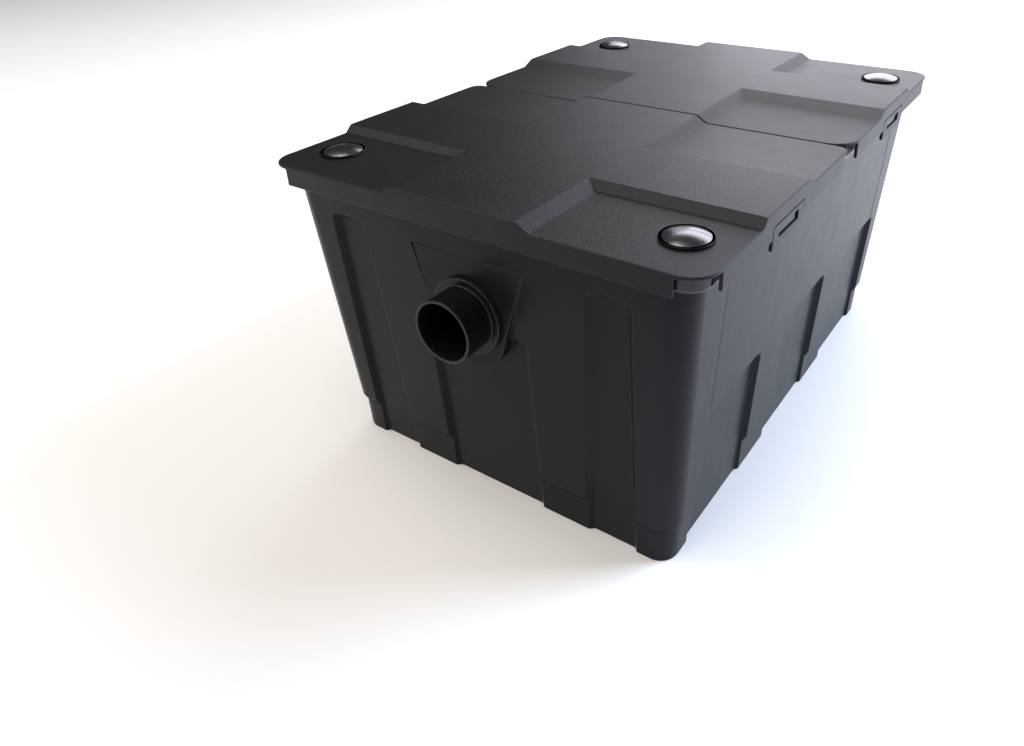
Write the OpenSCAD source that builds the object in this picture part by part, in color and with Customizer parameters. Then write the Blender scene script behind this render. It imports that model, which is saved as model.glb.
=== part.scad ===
// Multi-chamber pond filter: a drafted black tank with a two-part latched lid,
// a pipe outlet at the front, a hose inlet and a drain at the rear, and the
// brushes, foams and bio media that the water passes on its way through.
// Origin: centre of the underside. +X right, +Y towards the inlet end, +Z up.

/* [Lid] */
// Width over both lid skirts
lid_w = 573; // [560:1:590]
// Length over the front and the rear lid together
lid_l = 783; // [770:1:800]
// Height of the raised lid surface above the ground
lid_h = 410; // [400:1:420]
// Wall thickness of the lids
lid_wall = 4; // [3.5:0.5:4.5]
// Depth of the corner pads below the raised surface
pad_drop = 9; // [7:1:10]
// Height of the skirt below the corner pads
skirt_h = 24.4; // [22:0.2:26]
// Half width of the raised spine along the middle
spine_half = 85; // [75:1:95]
// Gap between the two lids
split_gap = 2; // [1:0.5:3]

/* [Tank] */
// Wall thickness of the tank
wall = 5; // [4:0.5:5]
// Height of the stepped-in foot
foot_h = 50; // [45:1:55]
// Depth of the recessed wall panels
recess_d = 7.5; // [5:0.5:8]
// Radius of the tank's upright corners
corner_r = 30; // [24:1:32]

/* [Fittings] */
// Outside diameter of the outlet pipe
outlet_od = 75; // [63:1:76]
// Height of the outlet and inlet axes
port_z = 271; // [262:1:276]
// Length of the outlet pipe in front of its seat
outlet_reach = 45.5; // [35:0.5:60]
// Outside diameter of the inlet thread
inlet_od = 48; // [40:1:48]
// Outside diameter of the drain thread
drain_od = 42; // [32:1:42]

/* [Latches] */
// Length of a latch tab along the lid
latch_l = 86; // [70:1:90]
// Distance of a latch from the middle of the filter
latch_y = 195; // [190:1:200]

/* [Media] */
// Height of a foam block
foam_h = 225; // [180:5:225]
// Diameter of a filter brush
brush_d = 92; // [70:2:96]
// Diameter of a bio ball
ball_d = 44; // [38:1:46]

/* [Hidden] */
$fn = 64;
eps = 0.01;
// lids
half_w = lid_w / 2;
half_l = lid_l / 2;
pad_z = lid_h - pad_drop;
pad_under = pad_z - lid_wall;
skirt_z = pad_z - skirt_h;
lid_corner_r = 30;
front_split_r = 16;
rear_split_r = 32;
slope_run = 15;
band_y = 200;
band_half = 58;
band_run = 10;
band_run_in = 20;
skirt_end_x = 31.5;
skirt_end_y = 34.5;
// tank walls
side_x = half_w - 37;
end_y = half_l - 38;
draft_x = 0.0555;
draft_y = 0.072;
foot_in_x = 4;
foot_in_y = 4;
foot_taper = 2;
shell_top = 384;
tank_clear = 0.3;
seal_h = 2.1;
rim_top = pad_under - tank_clear - seal_h;
rim_bottom = 378;
rim_out = 7.5;
rim_r = 27;
rim_x = half_w - rim_out;
rim_y = half_l - rim_out;
cavity_x = side_x + draft_x * (shell_top - foot_h) - wall;
cavity_y = end_y + draft_y * (shell_top - foot_h) - wall;
floor_x = side_x - foot_in_x - foot_taper - wall;
floor_y = end_y - foot_in_y - foot_taper - wall;
cavity_r = corner_r - wall;
// recessed panels
post_x = 198;
outer_low = 142;
outer_high = 160;
outer_top = 341;
centre_half = 66;
centre_top = 248;
pocket_half = 70;
pocket_pitch = 227.5;
pocket_top = 182;
recess_corner_r = 3;
groove_y = 292;
groove_half = 6;
groove_d = 0.9;
// lid screws and caps
cap_x = half_w - 54;
cap_y = half_l - 71;
collar_r = 27.2;
collar_h = 2.4;
spigot_r = 21;
cup_r = 17.5;
cup_floor_h = 3;
cap_r = 26;
cap_h = 5.6;
cap_wall = 1.2;
cap_sphere_r = (cap_r * cap_r + cap_h * cap_h) / (2 * cap_h);
screw_r = 4;
screw_head_r = 8;
screw_head_h = 5;
screw_l = 36;
screw_gap = 0.3;
boss_r = 10;
boss_low = 350;
// latches
latch_half = latch_l / 2;
latch_gap = 0.4;
latch_top_gap = 0.8;
latch_low = skirt_z - 12;
hinge_z = skirt_z + 13;
latch_top = hinge_z + 1;
window_half = 27;
window_low = skirt_z - 2;
window_high = skirt_z + 9;
catch_half = 22;
hinge_x = half_w - lid_wall / 2;
// outlet
outlet_r = outlet_od / 2;
pipe_wall = 3;
seat_y = half_l - 17;
gasket_t = 1.5;
outlet_flange_r = outlet_r + 9;
flange_t = 5;
nut_seat_y = half_l - 33.5;
nut_h = 14;
bore_gap = 0.7;
seat_t = 20;
outlet_pad_r = 54;
nut_room_r = outlet_r + 14;
seat_low_z = port_z - 20;
seat_low_r = 47.5;
strainer_r = outlet_r - 4.5;
strainer_l = 60;
// inlet
inlet_r = inlet_od / 2;
inlet_flange_r = inlet_r + 12;
inlet_nut_h = 12;
inlet_pad_r = 44;
inlet_nut_room_r = inlet_r + 14;
union_gap = 0.3;
union_l = 24;
union_wall = 7;
tail_r = 19;
tail_wall = 2.5;
// drain
drain_r = drain_od / 2;
drain_x = 104;
drain_z = 98;
drain_seat_y = end_y + 7;
drain_flange_r = drain_r + 9;
drain_cap_h = 20;
drain_reach = 24;
drain_nut_y = floor_y - 14;
drain_nut_h = 11;
// media
foam_count = 4;
baffle_y = 112;
baffle_t = 5;
baffle_top = 345;
weir_top = 268;
grid_z = 55;
grid_t = 8;
plate_t = 5.5;
brush_y = 232;
brush_pitch = 112;
rack_z = 330;
rod_r = 3;
bar_half = 15;
bar_top = rim_top + seal_h;
bar_h = 14;
bar_pocket_l = 224;
bar_pocket_x = 118;

// ---- shared outlines ----------------------------------------------------

function wall_x(z) = side_x + draft_x * (z - foot_h);
function wall_y(z) = end_y + draft_y * (z - foot_h);
function inner_x(z) = floor_x + (cavity_x - floor_x) * (z - wall) / (shell_top - wall);

module rounded_rect(hx, hy, r) {
    square([2 * (hx - r), 2 * hy], center = true);
    square([2 * hx, 2 * (hy - r)], center = true);
    for (sx = [-1, 1], sy = [-1, 1])
        translate([sx * (hx - r), sy * (hy - r)]) circle(r, $fn = 32);
}

module drafted_box(z0, hx0, hy0, r0, z1, hx1, hy1, r1) {
    hull() {
        translate([0, 0, z0]) linear_extrude(eps) rounded_rect(hx0, hy0, r0);
        translate([0, 0, z1 - eps]) linear_extrude(eps) rounded_rect(hx1, hy1, r1);
    }
}

// Lays a shape drawn around +Z along the -Y (front) or +Y (rear) axis.
module along_y(y, side = 1) {
    translate([0, y, 0]) rotate([side > 0 ? -90 : 90, 0, 0]) children();
}

module ring(r_out, r_in, h) {
    difference() {
        cylinder(r = r_out, h = h);
        translate([0, 0, -1]) cylinder(r = r_in, h = h + 2);
    }
}

// ---- tank ---------------------------------------------------------------

// A recess with sloping sides and top, open at the bottom. It is drawn on a
// drafted wall: u runs along the wall, z up, and w is the depth into it. Its
// outline grows by k on the way out, and its top corners are rounded.
module recess(u0_low, u1_low, u0_high, u1_high, z_top, depth, out, base, draft, corner) {
    z_low = -5;
    k = depth + out;
    turn = corner > 0 ? [0 : 22.5 : 90] : [0];
    function outline(g, r) = concat(
        [[u0_low - g, z_low], [u1_low + g, z_low]],
        [for (a = turn) [u1_high + g - r + r * cos(a), z_top + g - r + r * sin(a)]],
        [for (a = turn) [u0_high - g + r - r * sin(a), z_top + g - r + r * cos(a)]]
    );
    function place(p, w) = [p[0], -(base + draft * (p[1] - foot_h)) + w, p[1]];
    inner = outline(0, corner);
    outer = outline(k, corner > 0 ? corner + k : 0);
    n = len(inner);
    polyhedron(
        points = concat([for (p = inner) place(p, depth)], [for (p = outer) place(p, -out)]),
        faces = concat(
            [for (i = [1 : n - 2]) [0, i, i + 1]],
            [for (i = [1 : n - 2]) [n, n + i + 1, n + i]],
            [for (i = [0 : n - 1]) [i, n + i, n + (i + 1) % n]],
            [for (i = [0 : n - 1]) [i, n + (i + 1) % n, (i + 1) % n]]
        )
    );
}

// The three recesses of one short wall, seen from outside.
module end_recesses(depth, out, grow, corner) {
    recess(outer_low - grow, post_x + grow, outer_high - grow, post_x + grow,
        outer_top + grow, depth, out, end_y, draft_y, corner);
    recess(-post_x - grow, -outer_low + grow, -post_x - grow, -outer_high + grow,
        outer_top + grow, depth, out, end_y, draft_y, corner);
    recess(-centre_half - grow, centre_half + grow, -centre_half - grow, centre_half + grow,
        centre_top + grow, depth, out, end_y, draft_y, corner);
}

// The three pockets of one long wall, drawn on the front wall's side and turned.
module side_recesses(depth, out, grow, corner) {
    for (i = [-1 : 1])
        recess(i * pocket_pitch - pocket_half - grow, i * pocket_pitch + pocket_half + grow,
            i * pocket_pitch - pocket_half - grow, i * pocket_pitch + pocket_half + grow,
            pocket_top + grow, depth, out, side_x, draft_x, corner);
}

module all_recesses(depth, out, grow, corner) {
    for (turn = [0, 180]) rotate([0, 0, turn]) {
        end_recesses(depth, out, grow, corner);
        rotate([0, 0, 90]) side_recesses(depth, out, grow, corner);
    }
}

// Shallow upright groove beside each corner post on the long walls.
module side_grooves() {
    tilt = atan(draft_x);
    for (sx = [0, 1], sy = [-1, 1])
        mirror([sx, 0, 0])
            translate([wall_x(pocket_top), sy * groove_y, pocket_top])
                rotate([0, tilt, 0])
                    linear_extrude(shell_top - pocket_top)
                        polygon([[1, -groove_half - 2], [1, groove_half + 2], [-groove_d, 0]]);
}

// Section of the rolled rim: a ledge for the seal, then a rounded lip outside it.
rim_in = rim_r - (rim_x - cavity_x);
lip_w = 3.2;
lip_h = 2;
roll_r = 5;
rim_profile = concat(
    [[rim_in, rim_top], [rim_r - lip_w, rim_top], [rim_r - lip_w, rim_top + lip_h]],
    [for (a = [90 : -15 : 0]) [rim_r - 3 + 3 * cos(a), rim_top + lip_h - 3 + 3 * sin(a)]],
    [for (a = [0 : -15 : -90]) [rim_r - roll_r + roll_r * cos(a), rim_bottom + roll_r + roll_r * sin(a)]],
    [[rim_in, rim_bottom]]
);

module rim() {
    for (sx = [-1, 1])
        translate([sx * (rim_x - rim_r), rim_y - rim_r, 0]) rotate([90, 0, 0])
            linear_extrude(2 * (rim_y - rim_r)) mirror([sx < 0 ? 1 : 0, 0]) polygon(rim_profile);
    for (sy = [-1, 1])
        translate([-(rim_x - rim_r), sy * (rim_y - rim_r), 0]) rotate([90, 0, 90])
            linear_extrude(2 * (rim_x - rim_r)) mirror([sy < 0 ? 1 : 0, 0]) polygon(rim_profile);
    for (i = [0 : 3])
        translate([[1, -1, -1, 1][i] * (rim_x - rim_r), [1, 1, -1, -1][i] * (rim_y - rim_r), 0])
            rotate([0, 0, 90 * i]) rotate_extrude(angle = 90) polygon(rim_profile);
}

// Upright flat seat for a pipe flange on the drafted end wall.
module port_seat() {
    top = foot_h + (seat_y - end_y) / draft_y;
    along_y(-seat_y) mirror([0, 1, 0]) linear_extrude(seat_t) {
        polygon([[-45, port_z - 36], [45, port_z - 36], [77, top], [-77, top]]);
        translate([0, seat_low_z]) circle(seat_low_r);
    }
}

// Inward pad that gives the lock nut an upright face.
module nut_pad(r) {
    translate([0, 0, port_z]) along_y(-nut_seat_y) translate([0, 0, -20]) cylinder(r = r, h = 20);
}

// Corner post that takes a lid screw, with webs to both walls.
module screw_post() {
    top = rim_top - 3;
    translate([cap_x, cap_y, boss_low]) cylinder(r = boss_r, h = top - boss_low);
    translate([cap_x, cap_y - wall / 2, boss_low]) cube([half_w - cap_x - 20, wall, top - boss_low]);
    translate([cap_x - wall / 2, cap_y, boss_low]) cube([wall, half_l - cap_y - 15, top - boss_low]);
}

module catches() {
    for (sx = [0, 1], sy = [-1, 1])
        mirror([sx, 0, 0]) translate([0, sy * latch_y + catch_half, 0]) rotate([90, 0, 0])
            linear_extrude(2 * catch_half)
                polygon([
                    [rim_x - 7, skirt_z + 10], [rim_x, skirt_z + 9.5],
                    [half_w - lid_wall - latch_gap, skirt_z + 4],
                    [half_w - lid_wall - latch_gap, skirt_z + 1.5],
                    [rim_x - 7, skirt_z + 1.5]
                ]);
}

module drain_seat() {
    translate([drain_x, 0, drain_z]) {
        along_y(drain_seat_y - 16) cylinder(r = drain_flange_r + 3, h = 16);
    }
}

module tank() {
    color([0.13, 0.13, 0.14])
    difference() {
        union() {
            difference() {
                union() {
                    drafted_box(0, side_x - foot_in_x - foot_taper, end_y - foot_in_y - foot_taper,
                        corner_r - 6, foot_h, side_x - foot_in_x, end_y - foot_in_y, corner_r - 4);
                    drafted_box(foot_h - 2, side_x - foot_in_x, end_y - foot_in_y, corner_r - 4,
                        foot_h + 3, side_x, end_y, corner_r - 2);
                    drafted_box(foot_h + 3 - eps, side_x, end_y, corner_r - 2,
                        shell_top, wall_x(shell_top), wall_y(shell_top), corner_r);
                }
                all_recesses(recess_d, 2, 0, recess_corner_r);
                side_grooves();
            }
            rim();
            port_seat();
            rotate([0, 0, 180]) port_seat();
            drain_seat();
            catches();
        }
        difference() {
            drafted_box(wall, floor_x, floor_y, cavity_r, rim_top + 5,
                inner_x(rim_top + 5), cavity_y + 1.7, cavity_r);
            all_recesses(recess_d + wall, 2, wall, 0);
            nut_pad(outlet_pad_r);
            rotate([0, 0, 180]) nut_pad(inlet_pad_r);
            translate([drain_x, 0, drain_z]) along_y(drain_nut_y) cylinder(r = drain_flange_r + 3, h = 40);
            for (sx = [0, 1], sy = [0, 1]) mirror([sx, 0, 0]) mirror([0, sy, 0]) screw_post();
            for (sx = [-1, 1]) translate([sx * (floor_x + 16) - 16, -bar_half - 4, boss_low])
                cube([32, 2 * bar_half + 8, bar_top - bar_h - boss_low]);
        }
        translate([0, 0, port_z]) {
            along_y(-half_l, 1) cylinder(r = outlet_r + bore_gap, h = 60);
            along_y(half_l, -1) cylinder(r = inlet_r + bore_gap, h = 60);
            along_y(-nut_seat_y, 1) cylinder(r = nut_room_r, h = nut_h + 4);
            along_y(nut_seat_y, -1) cylinder(r = inlet_nut_room_r, h = nut_h + 4);
        }
        translate([drain_x, 0, drain_z]) along_y(half_l, -1) cylinder(r = drain_r + bore_gap, h = 75);
        for (sx = [-1, 1], sy = [-1, 1]) translate([sx * cap_x, sy * cap_y, boss_low + 4])
            cylinder(r = screw_r + screw_gap, h = 60);
    }
}

// Bar across the middle of the tank; the two lids meet on it.
module centre_bar() {
    color([0.12, 0.12, 0.12])
    difference() {
        translate([-inner_x(bar_top - bar_h) + 0.5, -bar_half, bar_top - bar_h])
            cube([2 * inner_x(bar_top - bar_h) - 1, 2 * bar_half, bar_h]);
        for (sx = [-1, 1])
            translate([sx * bar_pocket_x - bar_pocket_l / 2, -bar_half + lid_wall, bar_top - bar_h - 1])
                cube([bar_pocket_l, 2 * (bar_half - lid_wall), bar_h - lid_wall + 1]);
    }
}

module rim_seal() {
    inset = 3.5;
    seal_w = 8;
    color([0.05, 0.05, 0.05])
    translate([0, 0, rim_top]) linear_extrude(seal_h) difference() {
        rounded_rect(rim_x - inset, rim_y - inset, rim_r - inset);
        rounded_rect(rim_x - inset - seal_w, rim_y - inset - seal_w, rim_r - inset - seal_w);
    }
}

// ---- lids ---------------------------------------------------------------

// Outline of one lid in plan: the outer end at -half_l, the split end near 0.
module lid_outline(split_r) {
    intersection() {
        translate([0, -half_l / 2 + 100]) rounded_rect(half_w, half_l / 2 + 100, lid_corner_r);
        translate([0, -half_l / 2 - 100 - split_gap / 2])
            rounded_rect(half_w, half_l / 2 + 100, split_r);
    }
}

// Raised cross of one lid: a spine along Y and a band across it. t is how far
// the surface lies under the outer one.
module raised_cross(t) {
    low = t > 0 ? pad_under - 1 : pad_under + 1;
    y0 = -half_l + t;
    y1 = -split_gap / 2 - t;
    side = slope_run / pad_drop;
    side_in = band_run_in / pad_drop;
    side_out = band_run / pad_drop;
    top = lid_h - t;
    rise = top - low;
    lean = t * 0.5;
    s = spine_half - lean;
    b0 = -band_y - band_half + lean;
    b1 = -band_y + band_half - lean;
    translate([0, y1, 0]) rotate([90, 0, 0]) linear_extrude(y1 - y0)
        polygon([[-s - side * rise, low], [s + side * rise, low], [s, top], [-s, top]]);
    translate([-half_w + t, 0, 0]) rotate([90, 0, 90]) linear_extrude(2 * (half_w - t))
        polygon([[b0 - side_out * rise, low], [b1 + side_in * rise, low], [b1, top], [b0, top]]);
}

module skirt(split_r) {
    h = pad_z - skirt_z - 1;
    long_y0 = -half_l + skirt_end_y;
    long_y1 = -split_gap / 2 - split_r;
    for (sx = [0, 1]) mirror([sx, 0, 0]) difference() {
        translate([half_w - lid_wall, long_y0, skirt_z]) cube([lid_wall, long_y1 - long_y0, h]);
        translate([half_w - lid_wall - 1, -latch_y - latch_half - latch_gap, skirt_z - 1])
            cube([lid_wall + 2, latch_l + 2 * latch_gap, latch_top - skirt_z + latch_top_gap + 1]);
    }
    translate([-half_w + skirt_end_x, -half_l, skirt_z]) cube([2 * (half_w - skirt_end_x), lid_wall, h]);
}

module lid(split_r) {
    difference() {
        union() {
            translate([0, 0, pad_under]) linear_extrude(lid_wall) lid_outline(split_r);
            raised_cross(0);
            skirt(split_r);
        }
        raised_cross(lid_wall);
        for (sx = [-1, 1]) translate([sx * cap_x, -cap_y, pad_under - 1])
            cylinder(r = spigot_r + 0.2, h = lid_wall + 2);
    }
}

module front_lid() { color([0.17, 0.17, 0.18]) lid(front_split_r); }

module rear_lid() { color([0.17, 0.17, 0.18]) rotate([0, 0, 180]) lid(rear_split_r); }

// One snap tab with its window, on the right-hand side at y = 0.
module latch_tab() {
    color([0.15, 0.15, 0.16])
    difference() {
        translate([half_w - lid_wall, -latch_half, latch_low])
            cube([lid_wall, latch_l, latch_top - latch_low]);
        translate([half_w - lid_wall - 1, -window_half, window_low])
            cube([lid_wall + 2, 2 * window_half, window_high - window_low]);
    }
}

module latch(sx, sy) {
    mirror([sx < 0 ? 1 : 0, 0, 0]) translate([0, sy * latch_y, 0]) latch_tab();
}

// ---- lid caps and screws --------------------------------------------------

module dome_cap(sx, sy) {
    seat = pad_z + collar_h - 1;
    color([0.8, 0.8, 0.82])
    translate([sx * cap_x, sy * cap_y, seat]) intersection() {
        difference() {
            translate([0, 0, cap_h - cap_sphere_r]) sphere(cap_sphere_r, $fn = 96);
            translate([0, 0, cap_h - cap_sphere_r]) sphere(cap_sphere_r - cap_wall, $fn = 96);
        }
        cylinder(r = cap_r, h = cap_h + 1);
    }
}

module collar() {
    difference() {
        union() {
            translate([0, 0, pad_z]) cylinder(r = collar_r, h = collar_h);
            translate([0, 0, pad_under - cup_floor_h]) cylinder(r = spigot_r, h = lid_wall + cup_floor_h + 1);
        }
        translate([0, 0, pad_under]) cylinder(r = cup_r, h = 20);
        translate([0, 0, pad_z + collar_h - 1]) cylinder(r = cap_r + 0.2, h = 5);
        translate([0, 0, pad_under - 10]) cylinder(r = screw_r + screw_gap, h = 20);
    }
}

module cap_collars(sy) {
    color([0.06, 0.06, 0.06])
    for (sx = [-1, 1]) translate([sx * cap_x, sy * cap_y, 0]) collar();
}

module lid_screws(sy) {
    color([0.6, 0.6, 0.62])
    for (sx = [-1, 1]) translate([sx * cap_x, sy * cap_y, pad_under]) {
        difference() {
            cylinder(r = screw_head_r, h = screw_head_h);
            translate([0, 0, 2]) cylinder(r = 3.4, h = 4, $fn = 6);
        }
        translate([0, 0, -screw_l]) cylinder(r = screw_r, h = screw_l + 1);
    }
}

// ---- outlet -----------------------------------------------------------------

module outlet_pipe() {
    tip = seat_y + outlet_reach;
    tail = nut_seat_y - nut_h - 4;
    flange_y = seat_y + gasket_t;
    color([0.11, 0.11, 0.11])
    translate([0, 0, port_z]) difference() {
        union() {
            along_y(-tip) cylinder(r = outlet_r, h = tip - tail);
            along_y(-flange_y - flange_t) cylinder(r = outlet_flange_r, h = flange_t);
        }
        along_y(-tip - 1) cylinder(r = outlet_r - pipe_wall, h = tip - tail + 2);
    }
}

module outlet_gasket() {
    color([0.04, 0.04, 0.04])
    translate([0, 0, port_z]) along_y(-seat_y - gasket_t)
        ring(outlet_flange_r - 1, outlet_r + 0.2, gasket_t);
}

// Ring nut with grip lugs, screwed up against the wall from inside.
module lock_nut(r_in, r_out, h, lugs) {
    difference() {
        union() {
            cylinder(r = r_out, h = h);
            for (i = [0 : lugs - 1]) rotate([0, 0, i * 360 / lugs])
                translate([r_out - 1, -3, 0]) cube([4, 6, h]);
        }
        translate([0, 0, -1]) cylinder(r = r_in, h = h + 2);
    }
}

module outlet_lock_nut() {
    color([0.1, 0.1, 0.1])
    translate([0, 0, port_z]) along_y(-nut_seat_y) lock_nut(outlet_r + 0.15, outlet_r + 9, nut_h, 8);
}

// Slotted tube that keeps the media out of the outlet.
module outlet_strainer() {
    start = nut_seat_y - nut_h - 4;
    slots = 10;
    color([0.14, 0.14, 0.14])
    translate([0, 0, port_z]) along_y(-start - 16) difference() {
        cylinder(r = strainer_r, h = strainer_l + 16);
        translate([0, 0, -1]) cylinder(r = strainer_r - 2.5, h = strainer_l + 14);
        for (i = [0 : slots - 1]) rotate([0, 0, i * 360 / slots])
            translate([strainer_r - 8, -3, 24]) cube([16, 6, strainer_l - 16]);
    }
}

// ---- inlet ------------------------------------------------------------------

inlet_face_y = seat_y + gasket_t;
thread_l = 20;
joint_y = inlet_face_y + flange_t + thread_l;

module inlet_bulkhead() {
    tail = nut_seat_y - inlet_nut_h - 3;
    color([0.11, 0.11, 0.11])
    translate([0, 0, port_z]) difference() {
        union() {
            along_y(tail) cylinder(r = inlet_r, h = joint_y - tail);
            along_y(inlet_face_y) cylinder(r = inlet_flange_r, h = flange_t);
        }
        along_y(tail - 1) cylinder(r = inlet_r - 5, h = joint_y - tail + 2);
    }
}

module inlet_gasket() {
    color([0.04, 0.04, 0.04])
    translate([0, 0, port_z]) along_y(seat_y) ring(inlet_flange_r - 1, inlet_r + 0.2, gasket_t);
}

module inlet_lock_nut() {
    color([0.1, 0.1, 0.1])
    translate([0, 0, port_z]) along_y(nut_seat_y, -1)
        lock_nut(inlet_r + 0.15, inlet_r + 9, inlet_nut_h, 6);
}

module inlet_o_ring() {
    color([0.04, 0.04, 0.04])
    translate([0, 0, port_z]) along_y(joint_y) ring(inlet_r - 1, inlet_r - 4.5, 2);
}

// Hose tail: a collar the union nut pulls on, then steps for three hose sizes.
module inlet_hose_tail() {
    collar_y = joint_y + 2;
    color([0.11, 0.11, 0.11])
    translate([0, 0, port_z]) difference() {
        union() {
            along_y(collar_y) cylinder(r = inlet_r - 1, h = 4);
            along_y(collar_y) cylinder(r = tail_r + 1, h = 20);
            for (i = [0 : 2]) along_y(collar_y + 18 + i * 17) {
                cylinder(r = tail_r - i * 2.5, h = 17);
                translate([0, 0, 12]) rotate_extrude()
                    polygon([[5, 0], [tail_r - i * 2.5 + 1.2, 0], [tail_r - i * 2.5 - 0.2, 4], [5, 4]]);
            }
        }
        along_y(collar_y - 1) cylinder(r = tail_r - 5 - tail_wall, h = 90);
    }
}

// Union nut: runs on the bulkhead's thread and hooks over the tail's collar.
module inlet_union_nut() {
    start = inlet_face_y + flange_t + 6;
    inner = inlet_r + 0.08;
    lip_y = joint_y + 6.4;
    color([0.12, 0.12, 0.12])
    translate([0, 0, port_z]) difference() {
        union() {
            along_y(start) cylinder(r = inlet_r + union_wall, h = union_l);
            for (i = [0 : 11]) rotate([0, i * 30, 0]) along_y(start + 2)
                translate([inlet_r + union_wall - 1, -2, 0]) cube([3, 4, union_l - 4]);
        }
        along_y(start - 1) cylinder(r = inner, h = lip_y - start + 1);
        along_y(start) cylinder(r = tail_r + 1 + union_gap, h = union_l + 1);
    }
}

// ---- drain ------------------------------------------------------------------

module drain_bulkhead() {
    face = drain_seat_y + gasket_t;
    tail = drain_nut_y - drain_nut_h - 4;
    color([0.11, 0.11, 0.11])
    translate([drain_x, 0, drain_z]) difference() {
        union() {
            along_y(tail) cylinder(r = drain_r, h = face + drain_reach - tail);
            along_y(face) cylinder(r = drain_flange_r, h = flange_t);
        }
        along_y(tail - 1) cylinder(r = drain_r - 4.5, h = face + drain_reach - tail + 2);
    }
}

module drain_gasket() {
    color([0.04, 0.04, 0.04])
    translate([drain_x, 0, drain_z]) along_y(drain_seat_y) ring(drain_flange_r - 1, drain_r + 0.2, gasket_t);
}

module drain_lock_nut() {
    color([0.1, 0.1, 0.1])
    translate([drain_x, 0, drain_z]) along_y(drain_nut_y, -1)
        lock_nut(drain_r + 0.15, drain_r + 8, drain_nut_h, 6);
}

module drain_cap_seal() {
    mouth = drain_seat_y + gasket_t + drain_reach;
    color([0.04, 0.04, 0.04])
    translate([drain_x, 0, drain_z]) along_y(mouth) ring(drain_r - 0.5, drain_r - 4.5, 2);
}

module drain_cap() {
    mouth = drain_seat_y + gasket_t + drain_reach;
    start = mouth - 15;
    depth = mouth + 2.3 - start;
    color([0.12, 0.12, 0.12])
    translate([drain_x, 0, drain_z]) difference() {
        union() {
            along_y(start) cylinder(r = drain_r + 5, h = drain_cap_h + 1);
            for (i = [0 : 9]) rotate([0, i * 36, 0]) along_y(start + 2)
                translate([drain_r + 4, -2, 0]) cube([3, 4, drain_cap_h - 3]);
        }
        along_y(start - 1) cylinder(r = drain_r + 0.08, h = depth + 1);
    }
}

// ---- chambers and media --------------------------------------------------------

// Upright plate across the tank, following the drafted side walls.
module partition(y, z0, z1) {
    gap = 0.6;
    translate([0, y + baffle_t / 2, 0]) rotate([90, 0, 0]) linear_extrude(baffle_t)
        polygon([
            [-inner_x(z0) + gap, z0], [inner_x(z0) - gap, z0],
            [inner_x(z1) - gap, z1], [-inner_x(z1) + gap, z1]
        ]);
}

module rear_baffle() {
    port_pitch = 84;
    port_w = 64;
    color([0.2, 0.2, 0.2])
    difference() {
        partition(baffle_y, wall, baffle_top);
        for (i = [-2 : 2]) translate([i * port_pitch - port_w / 2, baffle_y - 10, wall + 6])
            cube([port_w, 20, 38]);
    }
}

module front_weir() {
    notch_pitch = 46;
    notch_w = 24;
    color([0.2, 0.2, 0.2])
    difference() {
        partition(-baffle_y, wall, weir_top);
        for (i = [-4 : 4]) translate([i * notch_pitch - notch_w / 2, -baffle_y - 10, weir_top - 18])
            cube([notch_w, 20, 30]);
    }
}

module brush_rack() {
    color([0.22, 0.22, 0.22])
    difference() {
        translate([-inner_x(rack_z) + 0.6, brush_y - 12, rack_z]) cube([2 * inner_x(rack_z) - 1.2, 24, 10]);
        for (i = [0 : 3]) translate([(i - 1.5) * brush_pitch, brush_y, rack_z - 10])
            cylinder(r = rod_r + 0.4, h = 40);
    }
}

module brush_rods() {
    color([0.65, 0.65, 0.66])
    for (i = [0 : 3]) translate([(i - 1.5) * brush_pitch, brush_y, 0]) {
        translate([0, 0, 30]) cylinder(r = rod_r, h = rack_z - 5);
        translate([0, 0, rack_z + 10]) cylinder(r = 7, h = 4);
        translate([0, 0, rack_z + 25]) rotate([90, 0, 0])
            rotate_extrude() translate([7, 0]) circle(2, $fn = 24);
    }
}

module brush_bristles() {
    color([0.2, 0.45, 0.3])
    for (i = [0 : 3]) translate([(i - 1.5) * brush_pitch, brush_y, 40]) ring(brush_d / 2, rod_r + 0.1, 270);
}

module foam_support_grid() {
    half_x = 226;
    half_y = baffle_y - baffle_t;
    pitch = 22.6;
    color([0.16, 0.16, 0.16])
    difference() {
        translate([-half_x, -half_y, grid_z]) cube([2 * half_x, 2 * half_y, grid_t]);
        for (i = [0 : 18], j = [-1, 1])
            translate([-half_x + 12 + i * pitch, j * 52 - 43, grid_z - 1])
                cube([pitch - 6, 86, grid_t + 2]);
    }
}

// Six round feet, welded under the border of the grid.
module foam_grid_legs() {
    color([0.16, 0.16, 0.16])
    for (x = [-200, 0, 200], y = [-1, 1])
        translate([x, y * 99, wall]) cylinder(r = 7, h = grid_z - wall);
}

foam_pitch = 448 / foam_count;
foam_z = grid_z + grid_t + 6;

function foam_x(i) = (i - (foam_count - 1) / 2) * foam_pitch;

module foam_base_plates() {
    color([0.18, 0.18, 0.18])
    for (i = [0 : foam_count - 1]) translate([foam_x(i), 0, grid_z + grid_t]) difference() {
        translate([-foam_pitch / 2 + 4, -96, 0]) cube([foam_pitch - 8, 192, plate_t]);
        for (y = [-60, 60]) translate([0, y, -1]) cylinder(r = 22, h = 8);
        translate([0, 0, -1]) cylinder(r = 5.2, h = 8);
    }
}

module foam_pull_rods() {
    top = foam_z + foam_h + 38;
    color([0.18, 0.18, 0.18])
    for (i = [0 : foam_count - 1]) translate([foam_x(i), 0, 0]) {
        translate([0, 0, grid_z + grid_t]) cylinder(r = 5, h = top - grid_z - grid_t);
        translate([0, 0, foam_z + foam_h + 1]) cylinder(r = 24, h = 4);
        translate([0, 40, top]) rotate([90, 0, 0]) cylinder(r = 6, h = 80);
    }
}

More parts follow.
